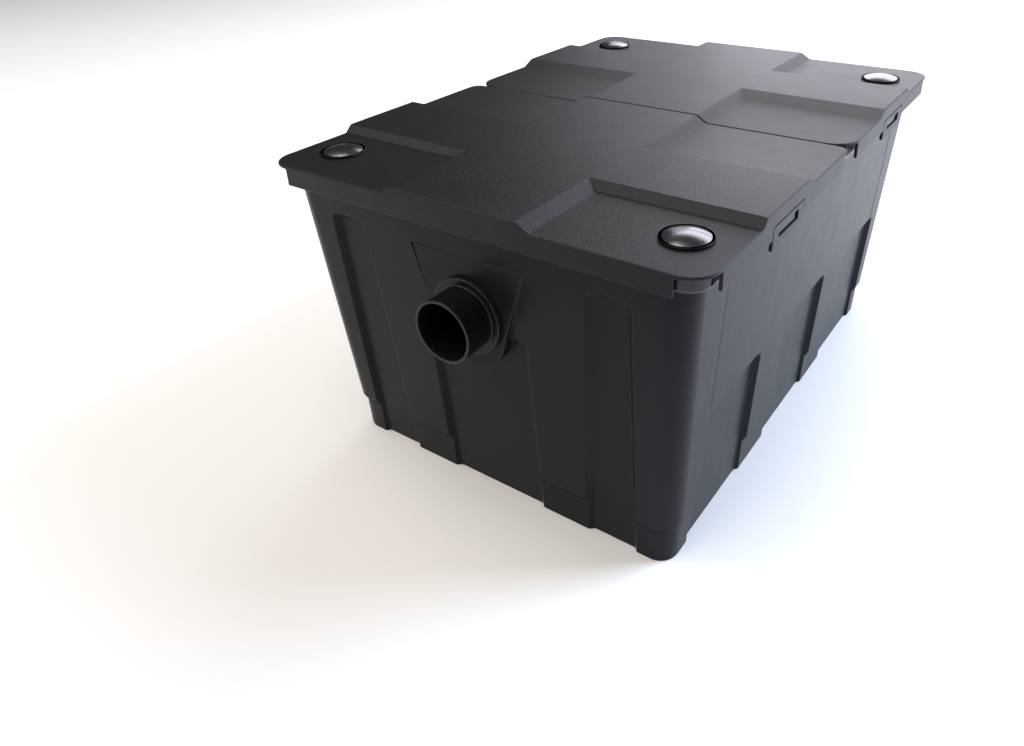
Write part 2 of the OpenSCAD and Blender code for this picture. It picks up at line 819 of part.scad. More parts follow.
module foam_block(i, tint) {
    color(tint) translate([foam_x(i - 1), 0, foam_z]) difference() {
        translate([-foam_pitch / 2 + 2, -100, 0]) cube([foam_pitch - 4, 200, foam_h]);
        translate([0, 0, -1]) cylinder(r = 5.3, h = foam_h + 2);
    }
}

// Two layers of balls in the outlet chamber, the upper one set in the gaps.
module bio_balls() {
    step = ball_d + 1.5;
    columns = 9;
    rows = 4;
    front = -floor_y + wall + recess_d + ball_d / 2 + 4;
    color([0.12, 0.2, 0.34])
    for (layer = [0, 1], i = [0 : columns - 1 - layer], j = [0 : rows - 1 - layer])
        translate([
            (i - (columns - 1 - layer) / 2) * step,
            front + (j + layer / 2) * step,
            wall + ball_d / 2 + 0.2 + layer * step * 0.74
        ]) sphere(ball_d / 2, $fn = 32);
}

tank();
centre_bar();
rim_seal();
front_lid();
rear_lid();
latch(-1, -1);  // front_left_latch
latch(1, -1);  // front_right_latch
latch(-1, 1);  // rear_left_latch
latch(1, 1);  // rear_right_latch
dome_cap(-1, -1);  // front_left_dome_cap
dome_cap(1, -1);  // front_right_dome_cap
dome_cap(-1, 1);  // rear_left_dome_cap
dome_cap(1, 1);  // rear_right_dome_cap
cap_collars(-1);  // front_lid_cap_collars
cap_collars(1);  // rear_lid_cap_collars
lid_screws(-1);  // front_lid_screws
lid_screws(1);  // rear_lid_screws
outlet_pipe();
outlet_gasket();
outlet_lock_nut();
outlet_strainer();
inlet_bulkhead();
inlet_gasket();
inlet_lock_nut();
inlet_o_ring();
inlet_union_nut();
inlet_hose_tail();
drain_bulkhead();
drain_gasket();
drain_lock_nut();
drain_cap();
drain_cap_seal();
rear_baffle();
front_weir();
brush_rack();
brush_rods();
brush_bristles();
foam_support_grid();
foam_grid_legs();
foam_base_plates();
foam_pull_rods();
foam_block(1, [0.15, 0.3, 0.6]);  // foam_block_1
foam_block(2, [0.15, 0.3, 0.6]);  // foam_block_2
foam_block(3, [0.15, 0.3, 0.6]);  // foam_block_3
foam_block(4, [0.15, 0.3, 0.6]);  // foam_block_4
bio_balls();
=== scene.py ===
import math
import random

import bmesh
import bpy
from mathutils import Matrix, Vector, noise
from mathutils.bvhtree import BVHTree


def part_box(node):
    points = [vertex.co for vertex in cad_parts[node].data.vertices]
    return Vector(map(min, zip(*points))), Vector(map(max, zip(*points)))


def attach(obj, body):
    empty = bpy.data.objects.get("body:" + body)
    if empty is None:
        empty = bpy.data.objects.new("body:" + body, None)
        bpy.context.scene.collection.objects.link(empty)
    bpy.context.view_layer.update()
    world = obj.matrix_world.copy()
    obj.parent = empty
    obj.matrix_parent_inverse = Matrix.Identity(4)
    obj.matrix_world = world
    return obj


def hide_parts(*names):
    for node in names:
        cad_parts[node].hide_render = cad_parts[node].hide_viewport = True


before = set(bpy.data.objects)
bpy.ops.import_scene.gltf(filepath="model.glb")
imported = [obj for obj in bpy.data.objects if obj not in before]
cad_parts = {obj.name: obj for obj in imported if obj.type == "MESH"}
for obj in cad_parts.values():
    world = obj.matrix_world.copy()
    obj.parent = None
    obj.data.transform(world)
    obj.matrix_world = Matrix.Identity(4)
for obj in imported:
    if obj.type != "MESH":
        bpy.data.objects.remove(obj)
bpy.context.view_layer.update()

scene = bpy.context.scene

# ---- studio ------------------------------------------------------------------
# A pale floor under soft daylight panels: two cool ones behind the filter, which
# skim the lids, a cool one on the right, a warm fill above and one on the far floor.

eye = Vector((0.5288, -0.9454, 0.7344))
look = Vector((-0.5096, 0.7205, -0.4704)).normalized()
right = Vector((0.824, 0.566, -0.0258))
right = (right - right.dot(look) * look).normalized()
above = right.cross(look)
camera = bpy.data.objects.new("camera", bpy.data.cameras.new("camera"))
scene.collection.objects.link(camera)
camera.matrix_world = Matrix.Translation(eye) @ Matrix((right, above, -look)).transposed().to_4x4()
camera.data.sensor_width = 36
camera.data.lens = 28.57
camera.data.shift_x = -0.0469
camera.data.shift_y = -0.1006
scene.camera = camera
scene.view_settings.view_transform = "Standard"

floor_half = 9
floor_corners = [(x * floor_half, y * floor_half, 0) for x, y in ((-1, -1), (1, -1), (1, 1), (-1, 1))]
floor_mesh = bpy.data.meshes.new("floor")
floor_mesh.from_pydata(floor_corners, [], [(0, 1, 2, 3)])
floor = bpy.data.objects.new("floor", floor_mesh)
scene.collection.objects.link(floor)
paper = bpy.data.materials.new("studio_paper")
paper.use_nodes = True
paper.node_tree.nodes["Principled BSDF"].inputs["Base Color"].default_value = (0.86, 0.86, 0.87, 1)
paper.node_tree.nodes["Principled BSDF"].inputs["Roughness"].default_value = 0.9
floor_mesh.materials.append(paper)


def panel(name, place, target, width, height, watts, colour):
    """A soft rectangular light at one place, turned to face another."""
    light = bpy.data.lights.new(name, "AREA")
    light.shape = "RECTANGLE"
    light.size = width
    light.size_y = height
    light.energy = watts
    light.color = colour
    ob = bpy.data.objects.new(name, light)
    ob.location = place
    ob.rotation_mode = "QUATERNION"
    ob.rotation_quaternion = (Vector(target) - Vector(place)).to_track_quat("-Z", "Y")
    ob.visible_camera = False
    scene.collection.objects.link(ob)


panel("back_panel", (-0.2, 2.5, 0.8), (0.0, 0.2, 0.4), 1.6, 0.8, 10, (0.92, 0.9, 1.0))
panel("wide_back_panel", (-0.6, 2.9, 1.3), (0.0, 0.0, 0.4), 2.6, 1.9, 15.5, (0.9, 0.88, 1.0))
panel("right_panel", (2.0, 1.6, 2.2), (0.3, 0.2, 0.1), 1.6, 1.6, 128, (0.68, 0.8, 1.0))
panel("front_panel", (-1.4, -1.8, 4.6), (0.0, 0.3, 0), 6.0, 6.0, 350, (1.0, 0.94, 0.86))
panel("backdrop_panel", (2.5, 6.0, 4.0), (2.5, 6.0, 0), 12.0, 4.0, 480, (1.0, 1.0, 1.0))
world = bpy.data.worlds.new("studio_air")
scene.world = world
world.use_nodes = True
world.node_tree.nodes["Background"].inputs["Color"].default_value = (0.95, 0.97, 1.0, 1)
world.node_tree.nodes["Background"].inputs["Strength"].default_value = 0.06

# ---- tank --------------------------------------------------------------------
# One deep drafted box, injection moulded in black polypropylene: satin walls
# with faint upright draw marks, radiused panel edges and a rolled top rim.


class Skin:
    """A procedural material in the making: its shader, and short ways to add and join nodes."""

    def __init__(self, name):
        self.material = bpy.data.materials.new(name)
        self.material.use_nodes = True
        self.tree = self.material.node_tree
        self.shader = self.tree.nodes["Principled BSDF"]
        self.place = self.make("ShaderNodeTexCoord").outputs["Object"]

    def make(self, kind, **values):
        """A new node: names in small letters are its own settings, and the others are its sockets."""
        node = self.tree.nodes.new(kind)
        for key, value in values.items():
            if key[0].islower():
                setattr(node, key, value)
            else:
                node.inputs[key.replace("_", " ")].default_value = value
        return node

    def link(self, source, target):
        self.tree.links.new(source, target)

    def feed(self, socket, source):
        self.link(source, self.shader.inputs[socket])

    def stretch(self, scale):
        """The object's own coordinates, scaled by a different amount each way."""
        node = self.make("ShaderNodeMapping", Scale=scale)
        self.link(self.place, node.inputs["Vector"])
        return node.outputs["Vector"]

    def noise(self, scale, detail, roughness=0.5, distortion=0.0, place=None):
        """How strong a cloudy noise is at each point of the object, or of the place given."""
        node = self.make("ShaderNodeTexNoise", Scale=scale, Detail=detail, Roughness=roughness,
                         Distortion=distortion)
        self.link(place or self.place, node.inputs["Vector"])
        return node.outputs["Fac"]

    def spread(self, source, low, high, out_low, out_high):
        """The source's stretch from low to high, made to run from out_low to out_high."""
        node = self.make("ShaderNodeMapRange", From_Min=low, From_Max=high, To_Min=out_low, To_Max=out_high)
        self.link(source, node.inputs["Value"])
        return node.outputs["Result"]

    def blend(self, share, first, second):
        """Colour from first to second as share goes from 0 to 1; each is an RGB triple or a socket."""
        mix = self.make("ShaderNodeMix", data_type="RGBA")
        self.link(share, mix.inputs[0])
        for socket, value in ((6, first), (7, second)):
            if isinstance(value, tuple):
                mix.inputs[socket].default_value = (*value, 1)
            else:
                self.link(value, mix.inputs[socket])
        return mix.outputs[2]

    def bump(self, height, strength, distance):
        node = self.make("ShaderNodeBump", Strength=strength, Distance=distance)
        self.link(height, node.inputs["Height"])
        self.feed("Normal", node.outputs["Normal"])


dust_grey = (0.3, 0.3, 0.31)
# Pale grey blended in along every edge, and the width it reaches: painted highlight lines.
painted_highlight_grey = (0.12, 0.12, 0.125)
painted_highlight_width = 0.0028


def plastic(name, colour, gloss_loss, specular, grain_mm, grain_height, streak=0.0, dust=0.0, painted_highlight_share=0.0,
            tint=(0.82, 0.86, 1.0)):
    """Moulded plastic: mottled, unevenly glossy and finely grained, with painted highlight lines along its
    edges.
    """
    skin = Skin(name)
    skin.shader.inputs["Specular IOR Level"].default_value = specular
    # The specular tint turns every reflection cool: a painted cast of cool light.
    skin.shader.inputs["Specular Tint"].default_value = (*tint, 1)

    pale = tuple(c * 1.16 for c in colour)
    deep = tuple(c * 0.86 for c in colour)
    surface = skin.blend(skin.spread(skin.noise(11.0, 6.0, 0.62), 0.3, 0.7, 0.0, 1.0), deep, pale)
    if dust:
        specks = skin.spread(skin.noise(520.0, 3.0, 0.7), 0.64, 0.8, 0.0, dust)
        surface = skin.blend(specks, surface, dust_grey)
    # Paler where the Bevel node's rounded normal leaves the true one: painted highlight lines along the
    # edges.
    if painted_highlight_share:
        rounded = skin.make("ShaderNodeBevel", samples=6, Radius=painted_highlight_width)
        facing = skin.make("ShaderNodeVectorMath", operation="DOT_PRODUCT")
        skin.link(rounded.outputs["Normal"], facing.inputs[0])
        skin.link(skin.make("ShaderNodeNewGeometry").outputs["Normal"], facing.inputs[1])
        edges = skin.spread(facing.outputs["Value"], 0.86, 0.99, painted_highlight_share, 0.0)
        surface = skin.blend(edges, surface, painted_highlight_grey)
    skin.feed("Base Color", surface)

    rough = skin.spread(skin.noise(34.0, 5.0, 0.65), 0.25, 0.75, gloss_loss - 0.02, gloss_loss + 0.025)
    if streak:
        marks = skin.noise(1.0, 5.0, 0.62, place=skin.stretch((95.0, 95.0, 1.3)))
        total = skin.make("ShaderNodeMath", operation="ADD")
        skin.link(rough, total.inputs[0])
        skin.link(skin.spread(marks, 0.3, 0.7, -streak, streak), total.inputs[1])
        rough = total.outputs[0]
    skin.feed("Roughness", rough)
    skin.bump(skin.noise(1000.0 / grain_mm, 2.0), 1.0, grain_height)
    return skin.material


same_point = 2e-5
flat_angle = math.radians(0.8)
sharp_angle = math.radians(30)


def moulded(node, name, edge, body, material, steps=2):
    """A piece on its frame shape, with every sharp edge rounded off as a mould leaves it."""
    build = bmesh.new()
    build.from_mesh(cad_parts[node].data)
    bmesh.ops.remove_doubles(build, verts=build.verts, dist=same_point)
    bmesh.ops.dissolve_limit(build, angle_limit=flat_angle, verts=build.verts, edges=build.edges)
    mesh = bpy.data.meshes.new(name)
    build.to_mesh(mesh)
    build.free()
    for face in mesh.polygons:
        face.use_smooth = True
    mesh.materials.clear()
    mesh.materials.append(material)
    ob = bpy.data.objects.new(name, mesh)
    scene.collection.objects.link(ob)
    bevel = ob.modifiers.new("edges", "BEVEL")
    bevel.width = edge
    bevel.segments = steps
    bevel.limit_method = "ANGLE"
    bevel.angle_limit = sharp_angle
    bevel.use_clamp_overlap = False
    bevel.miter_outer = "MITER_ARC"
    ob.modifiers.new("even", "WEIGHTED_NORMAL").keep_sharp = True
    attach(ob, body)
    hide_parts(node)
    return ob


# Walls and rim: painted highlight lines along their edges, and reflections tinted cool as painted cool light.
wall_plastic = plastic("wall_plastic", (0.009, 0.0092, 0.0098), 0.34, 0.15, 0.9, 0.00002,
                       streak=0.014, painted_highlight_share=0.3, tint=(0.75, 0.82, 1.0))
rim_plastic = plastic("glossy_rim_plastic", (0.014, 0.0137, 0.0137), 0.25, 0.5, 0.9, 0.00002, painted_highlight_share=0.3)
# Catches in pale grey: a painted highlight on their glossy tops, seen through the latch windows.
painted_highlight_catch_plastic = plastic("painted_highlight_catch_plastic", (0.11, 0.11, 0.13), 0.35, 0.5, 0.9, 0.00002)
rim_underside = 0.3779
rim_face = 0.2793
tank_edge = 0.0012
rim_slot, catch_slot = 1, 2
tank = moulded("tank", "moulded_tank", tank_edge, "filter_tank", wall_plastic)
tank.data.materials.append(rim_plastic)
tank.data.materials.append(painted_highlight_catch_plastic)
# Faces above the rim: the catches beyond rim_face get the pale grey painted highlight, the rest the glossy
# rim plastic.
for face in tank.data.polygons:
    if min(tank.data.vertices[v].co.z for v in face.vertices) > rim_underside:
        face.material_index = catch_slot if abs(face.center.x) > rim_face else rim_slot

# Where a catch runs into the rim the rounding shoots out of the corner, so points
# that end up further from the solid than the rounding is wide are put back on it.
shell = BVHTree.FromPolygons([v.co for v in tank.data.vertices], [f.vertices for f in tank.data.polygons])
rounded = bpy.data.meshes.new_from_object(tank.evaluated_get(bpy.context.evaluated_depsgraph_get()))
for vert in rounded.vertices:
    nearest, _, _, gap = shell.find_nearest(vert.co)
    if gap > tank_edge:
        vert.co = nearest
tank.modifiers.clear()
tank.data = rounded

# ---- centre bar and rim seal ---------------------------------------------------
# A moulded channel bridges the tank where the two lids meet. A flat black rubber
# seal lies on the rolled rim all the way round and the lids press on it.


def rubber(name, colour, gloss_loss):
    """Matt moulded rubber: powdery bloom in patches and a fine pitted skin."""
    skin = Skin(name)
    skin.shader.inputs["Specular IOR Level"].default_value = 0.3
    bloom = skin.noise(60.0, 6.0, 0.7)
    pale = tuple(c + 0.012 for c in colour)
    skin.feed("Base Color", skin.blend(skin.spread(bloom, 0.4, 0.75, 0.0, 1.0), colour, pale))
    skin.feed("Roughness", skin.spread(bloom, 0.3, 0.7, gloss_loss - 0.08, gloss_loss + 0.1))
    skin.bump(skin.noise(1800.0, 2.0), 1.0, 0.00004)
    return skin.material


seal_rubber = rubber("seal_rubber", (0.012, 0.012, 0.012), 0.62)
moulded("centre_bar", "lid_rest_bar", 0.0008, "filter_tank", wall_plastic)
moulded("rim_seal", "flat_rim_seal", 0.0006, "filter_tank", seal_rubber)

# ---- chamber walls -------------------------------------------------------------
# Two upright plates of plain black plastic part the tank into three chambers.
# Water goes under the rear plate's arches and over the front plate's notches.

chamber_plastic = plastic("chamber_plastic", (0.016, 0.016, 0.017), 0.5, 0.4, 0.8, 0.00004, streak=0.03)
moulded("rear_baffle", "underflow_wall", 0.0008, "filter_tank", chamber_plastic)
moulded("front_weir", "overflow_wall", 0.0008, "filter_tank", chamber_plastic)

# ---- filter brushes --------------------------------------------------------------
# Four bottle brushes hang from a notched bar in the inlet chamber. Stiff green
# filaments are held between two stainless wires twisted together, with an eye on top.

brush_low, brush_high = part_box("brush_bristles")
rod_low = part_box("brush_rods")[0]
brush_radius = (brush_high.y - brush_low.y) / 2
brush_y = (brush_high.y + brush_low.y) / 2
brush_x0 = brush_low.x + brush_radius
brush_step = (brush_high.x - brush_low.x - 2 * brush_radius) / 3
end_gap = 0.002
wire_radius = 0.0015
wire_top = 0.349
wire_lay = 0.016
wire_steps = 240
eye_radius = 0.007
eye_z = 0.355
eye_sides = 32
filament_turns = 68
filaments_a_turn = 30
filament_radius = 0.00042


def drawn_steel(name, along):
    """Drawn or turned stainless steel: fine lines one way, with the gloss varying between them."""
    skin = Skin(name)
    skin.shader.inputs["Metallic"].default_value = 1.0
    lines = skin.noise(1.0, 4.0, 0.6, place=skin.stretch(along))
    share = skin.spread(lines, 0.3, 0.7, 0.0, 1.0)
    skin.feed("Base Color", skin.blend(share, (0.42, 0.42, 0.43), (0.6, 0.6, 0.61)))
    skin.feed("Roughness", skin.spread(lines, 0.3, 0.7, 0.22, 0.38))
    skin.bump(lines, 0.6, 0.00003)
    return skin.material


def filament_nylon(name):
    """Green filaments, each stretch a little lighter or darker, with a waxy gloss."""
    skin = Skin(name)
    tone = skin.noise(240.0, 3.0)
    share = skin.spread(tone, 0.3, 0.7, 0.0, 1.0)
    skin.feed("Base Color", skin.blend(share, (0.02, 0.11, 0.05), (0.07, 0.27, 0.14)))
    skin.feed("Roughness", skin.spread(tone, 0.3, 0.7, 0.35, 0.55))
    return skin.material


def tube_along(build, points, radius, sides=8):
    """Adds a round tube that follows the points, with closed ends."""
    rings = []
    turn = Vector((0.31, 0.17, 0.93)).normalized()
    for i, point in enumerate(points):
        ahead = (points[min(i + 1, len(points) - 1)] - points[max(i - 1, 0)]).normalized()
        turn = (turn - turn.dot(ahead) * ahead).normalized()
        across = ahead.cross(turn)
        rings.append([
            build.verts.new(point + radius * (math.cos(a) * turn + math.sin(a) * across))
            for a in (2 * math.pi * k / sides for k in range(sides))
        ])
    for low_ring, high_ring in zip(rings, rings[1:]):
        for k in range(sides):
            n = (k + 1) % sides
            build.faces.new((low_ring[k], low_ring[n], high_ring[n], high_ring[k]))
    build.faces.new(rings[0][::-1])
    build.faces.new(rings[-1])


def add_filament(build, points, side):
    """Adds a thin three-sided filament through the points, closed at its tip."""
    up = Vector((0, 0, filament_radius * 0.87))
    rows = []
    for point in points:
        rows.append([
            build.verts.new(point + side * filament_radius),
            build.verts.new(point - side * filament_radius * 0.5 + up),
            build.verts.new(point - side * filament_radius * 0.5 - up),
        ])
    for low_row, high_row in zip(rows, rows[1:]):
        for i in range(3):
            n = (i + 1) % 3
            build.faces.new((low_row[i], low_row[n], high_row[n], high_row[i]))
    build.faces.new(rows[-1])


def finished(build, name, body, material, nodes):
    """Turns the built mesh into a piece that rides on its body and stands for its nodes."""
    mesh = bpy.data.meshes.new(name)
    bmesh.ops.recalc_face_normals(build, faces=build.faces)
    build.to_mesh(mesh)
    build.free()
    for face in mesh.polygons:
        face.use_smooth = True
    mesh.materials.append(material)
    ob = bpy.data.objects.new(name, mesh)
    scene.collection.objects.link(ob)
    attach(ob, body)
    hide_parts(*nodes)
    return ob


wire_steel = drawn_steel("wire_steel", (900.0, 900.0, 60.0))
nylon = filament_nylon("filament_nylon")
moulded("brush_rack", "brush_hanging_bar", 0.0008, "filter_tank", chamber_plastic)
wires = bmesh.new()
filaments = bmesh.new()
chance = random.Random(7)
for n in range(4):
    middle = Vector((brush_x0 + n * brush_step, brush_y, 0))
    for phase in (0, math.pi):
        strand = []
        for k in range(wire_steps + 1):
            z = rod_low.z + end_gap + (wire_top - rod_low.z) * k / wire_steps
            a = phase + 2 * math.pi * z / wire_lay
            strand.append(middle + Vector((wire_radius * math.cos(a), wire_radius * math.sin(a), z)))
        tube_along(wires, strand, wire_radius)
    eye_ring = [
        middle + Vector((eye_radius * math.sin(a), 0, eye_z - eye_radius * math.cos(a)))
        for a in (2 * math.pi * k / eye_sides for k in range(eye_sides + 1))
    ]
    tube_along(wires, eye_ring, wire_radius)
    count = filament_turns * filaments_a_turn
    for k in range(count):
        z = brush_low.z + end_gap + (brush_high.z - brush_low.z - 2 * end_gap) * k / count
        a = 2 * math.pi * k / filaments_a_turn + chance.uniform(-0.09, 0.09)
        reach = brush_radius * chance.uniform(0.93, 0.985)
        sag = chance.uniform(-0.004, 0.001)
        out = Vector((math.cos(a), math.sin(a), 0))
        side = Vector((-math.sin(a), math.cos(a), 0))
        root = middle + out * 0.0025 + Vector((0, 0, z))
        half = middle + out * reach * 0.6 + side * chance.uniform(-0.002, 0.002)
        half.z += z + 0.2 * sag
        tip = middle + out * reach + side * chance.uniform(-0.004, 0.004)
        tip.z = min(max(z + sag, brush_low.z), brush_high.z)
        add_filament(filaments, (root, half, tip), side)
finished(wires, "twisted_brush_wires", "filter_tank", wire_steel, ["brush_rods"])
finished(filaments, "brush_filaments", "filter_tank", nylon, ["brush_bristles"])

# ---- foam cartridges ---------------------------------------------------------------
# Four blocks of blue open-cell foam stand on a slatted grid. Each is threaded on
# a pull rod with a T-handle, between a base plate and a washer, to lift it out.

foam_names = ["foam_block_1", "foam_block_2", "foam_block_3", "foam_block_4"]
cell = 0.0042
rod_hole = 0.0053
worn_reach = 0.005
worn_depth = 0.0016


def open_cell_foam(name):
    """Blue reticulated foam: pores of two sizes painted dark as shade between lighter struts, stained in
    patches.
    """
    skin = Skin(name)
    skin.shader.inputs["Specular IOR Level"].default_value = 0.15
    skin.shader.inputs["Sheen Weight"].default_value = 0.25
    struts = skin.make("ShaderNodeMath", operation="MULTIPLY")
    for socket, scale, rim, shade in ((0, 480.0, 0.5, 0.15), (1, 210.0, 0.4, 0.35)):
        pores = skin.make("ShaderNodeTexVoronoi", Scale=scale)
        skin.link(skin.place, pores.inputs["Vector"])
        skin.link(skin.spread(pores.outputs["Distance"], 0.05, rim, shade, 1.0), struts.inputs[socket])
    # Dark in the pores, light on the struts: painted shade in the foam's holes.
    blue = skin.blend(struts.outputs[0], (0.004, 0.014, 0.05), (0.05, 0.15, 0.42))
    stain = skin.spread(skin.noise(14.0, 6.0, 0.65), 0.5, 0.75, 0.0, 0.35)
    skin.feed("Base Color", skin.blend(stain, blue, (0.05, 0.07, 0.09)))
    skin.feed("Roughness", skin.spread(struts.outputs[0], 0.0, 1.0, 0.8, 1.0))
    skin.bump(struts.outputs[0], 1.0, 0.0011)
    return skin.material


def foam_cartridge(low, high):
    """A cut foam block: worn corners, faces a little hollow or full, knife-cut ripple, and a rod hole."""
    build = bmesh.new()
    size = high - low
    middle = (high + low) / 2
    counts = [max(4, round(size[i] / cell)) for i in range(3)]
    seen = {}

    def point(i, j, k):
        key = (i, j, k)
        if key not in seen:
            unit = Vector((i / counts[0], j / counts[1], k / counts[2]))
            place = Vector(low[c] + size[c] * unit[c] for c in range(3))
            near = [min(unit[c], 1 - unit[c]) * size[c] for c in range(3)]
            pull = Vector((0, 0, 0))
            for c in range(3):
                others = [near[d] for d in range(3) if d != c]
                if near[c] < 1e-6:
                    soft = sum(max(0.0, 1 - d / worn_reach) ** 2 for d in others) * worn_depth
                    wobble = noise.noise(place * 38 + Vector((c * 9, 3, 5))) * 0.0007 - 0.0008
                    ripple = noise.noise(place * 260) * 0.0005
                    pull[c] += (soft - wobble - ripple) * (1 if unit[c] < 0.5 else -1)
            place += pull
            seen[key] = build.verts.new(place)
        return seen[key]

    def skin(axis, side):
        u, v = [c for c in range(3) if c != axis]
        for a in range(counts[u]):
            for b in range(counts[v]):
                corners = []
                for da, db in ((0, 0), (1, 0), (1, 1), (0, 1)):
                    where = [0, 0, 0]
                    where[axis] = side * counts[axis]
                    where[u] = a + da
                    where[v] = b + db
                    corners.append(where)
                if axis == 2:
                    centre = [sum(w[c] for w in corners) / 4 / counts[c] * size[c] + low[c] for c in (0, 1)]
                    if math.hypot(centre[0] - middle.x, centre[1] - middle.y) < rod_hole:
                        continue
                build.faces.new([point(*w) for w in corners])

    for axis in range(3):
        for side in (0, 1):
            skin(axis, side)
    rims = [e for e in build.edges if len(e.link_faces) == 1]
    for edge in rims:
        for vert in edge.verts:
            away = Vector((vert.co.x - middle.x, vert.co.y - middle.y))
            if away.length > 1e-6:
                away = away.normalized() * rod_hole
                vert.co.x, vert.co.y = middle.x + away.x, middle.y + away.y
    bmesh.ops.bridge_loops(build, edges=rims)
    return build


blue_foam = open_cell_foam("open_cell_foam")
moulded("foam_support_grid", "slatted_grid", 0.0006, "filter_tank", chamber_plastic)
moulded("foam_grid_legs", "grid_feet", 0.0006, "filter_tank", chamber_plastic)
moulded("foam_base_plates", "foam_plates", 0.0006, "filter_tank", chamber_plastic)
moulded("foam_pull_rods", "foam_t_handles", 0.0008, "filter_tank", chamber_plastic)
for number, node in enumerate(foam_names, 1):
    low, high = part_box(node)
    block = finished(foam_cartridge(low, high), "foam_cartridge_%d" % number, "filter_tank",
                     blue_foam, [node])

# ---- bio balls -------------------------------------------------------------------
# Hollow plastic balls of fins around a core give bacteria a place to grow. They
# lie loose in two layers on the floor of the outlet chamber.

ball_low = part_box("bio_balls")[0]
ball_radius = 0.022
ball_step = 0.0455
layer_rise = 0.74 * ball_step
fin_count = 9
fin_thickness = 0.0013
fin_foot = 0.0195
fin_arc = 1.12
fin_steps = 12
ring_heights = (-0.0095, 0, 0.0095)
core_radius = 0.0045
core_length = 0.041
ball_plastic = plastic("ball_plastic", (0.014, 0.03, 0.075), 0.42, 0.45, 1.2, 0.00004)


def fin_ball():
    """One ball as rows of vertices and faces: nine upright fins, three ring plates and a core."""
    points, faces = [], []

    def plate(outline, along, thick):
        start = len(points)
        for shift in (-thick / 2, thick / 2):
            points.extend(p + along * shift for p in outline)
        count = len(outline)
        faces.append(list(range(start + count - 1, start - 1, -1)))
        faces.append(list(range(start + count, start + 2 * count)))
        for i in range(count):
            n = (i + 1) % count
            faces.append([start + i, start + n, start + count + n, start + count + i])

    def disc(radius, z, sides):
        turn = 2 * math.pi / sides
        return [Vector((radius * math.cos(i * turn), radius * math.sin(i * turn), z)) for i in range(sides)]

    for k in range(fin_count):
        a = 2 * math.pi * k / fin_count
        out = Vector((math.cos(a), math.sin(a), 0))
        outline = [out * 0.003 + Vector((0, 0, -fin_foot))]
        for i in range(fin_steps + 1):
            b = -fin_arc + 2 * fin_arc * i / fin_steps
            outline.append(out * ball_radius * math.cos(b) + Vector((0, 0, ball_radius * math.sin(b))))
        outline.append(out * 0.003 + Vector((0, 0, fin_foot)))
        plate(outline, Vector((-math.sin(a), math.cos(a), 0)), fin_thickness)
    for z in ring_heights:
        plate(disc(math.sqrt(ball_radius ** 2 - z ** 2) * 0.94, z, 28), Vector((0, 0, 1)), fin_thickness)
    plate(disc(core_radius, 0, 12), Vector((0, 0, 1)), core_length)
    return points, faces


def ball_centres():
    """Nine rows of four balls on the floor, and eight rows of three in the hollows above them."""
    for layer in (0, 1):
        across = 9 - layer
        for i in range(across):
            for j in range(4 - layer):
                yield Vector((
                    (i - (across - 1) / 2) * ball_step,
                    ball_low.y + ball_radius + (j + layer / 2) * ball_step,
                    ball_low.z + ball_radius + layer * layer_rise,
                ))


ball_points, ball_faces = fin_ball()
heap_points, heap_faces = [], []
for centre in ball_centres():
    turn = Matrix.Rotation(chance.uniform(0, 6.28), 3, "X") @ Matrix.Rotation(chance.uniform(0, 6.28), 3, "Z")
    start = len(heap_points)
    heap_points.extend(turn @ p + centre for p in ball_points)
    heap_faces.extend([start + i for i in face] for face in ball_faces)
heap_mesh = bpy.data.meshes.new("bio_ball_heap")
heap_mesh.from_pydata(heap_points, [], heap_faces)
heap_mesh.materials.append(ball_plastic)
heap = bpy.data.objects.new("bio_ball_heap", heap_mesh)
scene.collection.objects.link(heap)
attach(heap, "filter_tank")
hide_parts("bio_balls")

# ---- outlet ------------------------------------------------------------------------
# A smooth black drain pipe with a flange, clamped through the front wall on a
# rubber gasket by a lugged ring nut; inside, a slotted strainer holds the media back.

# Strongly paler edges on the pipe, flanges and nuts: painted highlight lines.
pipe_plastic = plastic("pipe_plastic", (0.006, 0.006, 0.006), 0.3, 0.22, 1.4, 0.00001, painted_highlight_share=0.8)
moulded("outlet_pipe", "outlet_stub", 0.0009, "filter_tank", pipe_plastic, steps=3)
moulded("outlet_gasket", "outlet_washer", 0.0004, "filter_tank", seal_rubber)
moulded("outlet_lock_nut", "outlet_ring_nut", 0.0009, "filter_tank", pipe_plastic)
moulded("outlet_strainer", "slotted_strainer", 0.0005, "filter_tank", chamber_plastic)

# ---- inlet --------------------------------------------------------------------------
# A threaded bulkhead through the rear wall; a ribbed union nut draws the stepped
# hose tail against its mouth on an O-ring. The nut spins freely by hand.


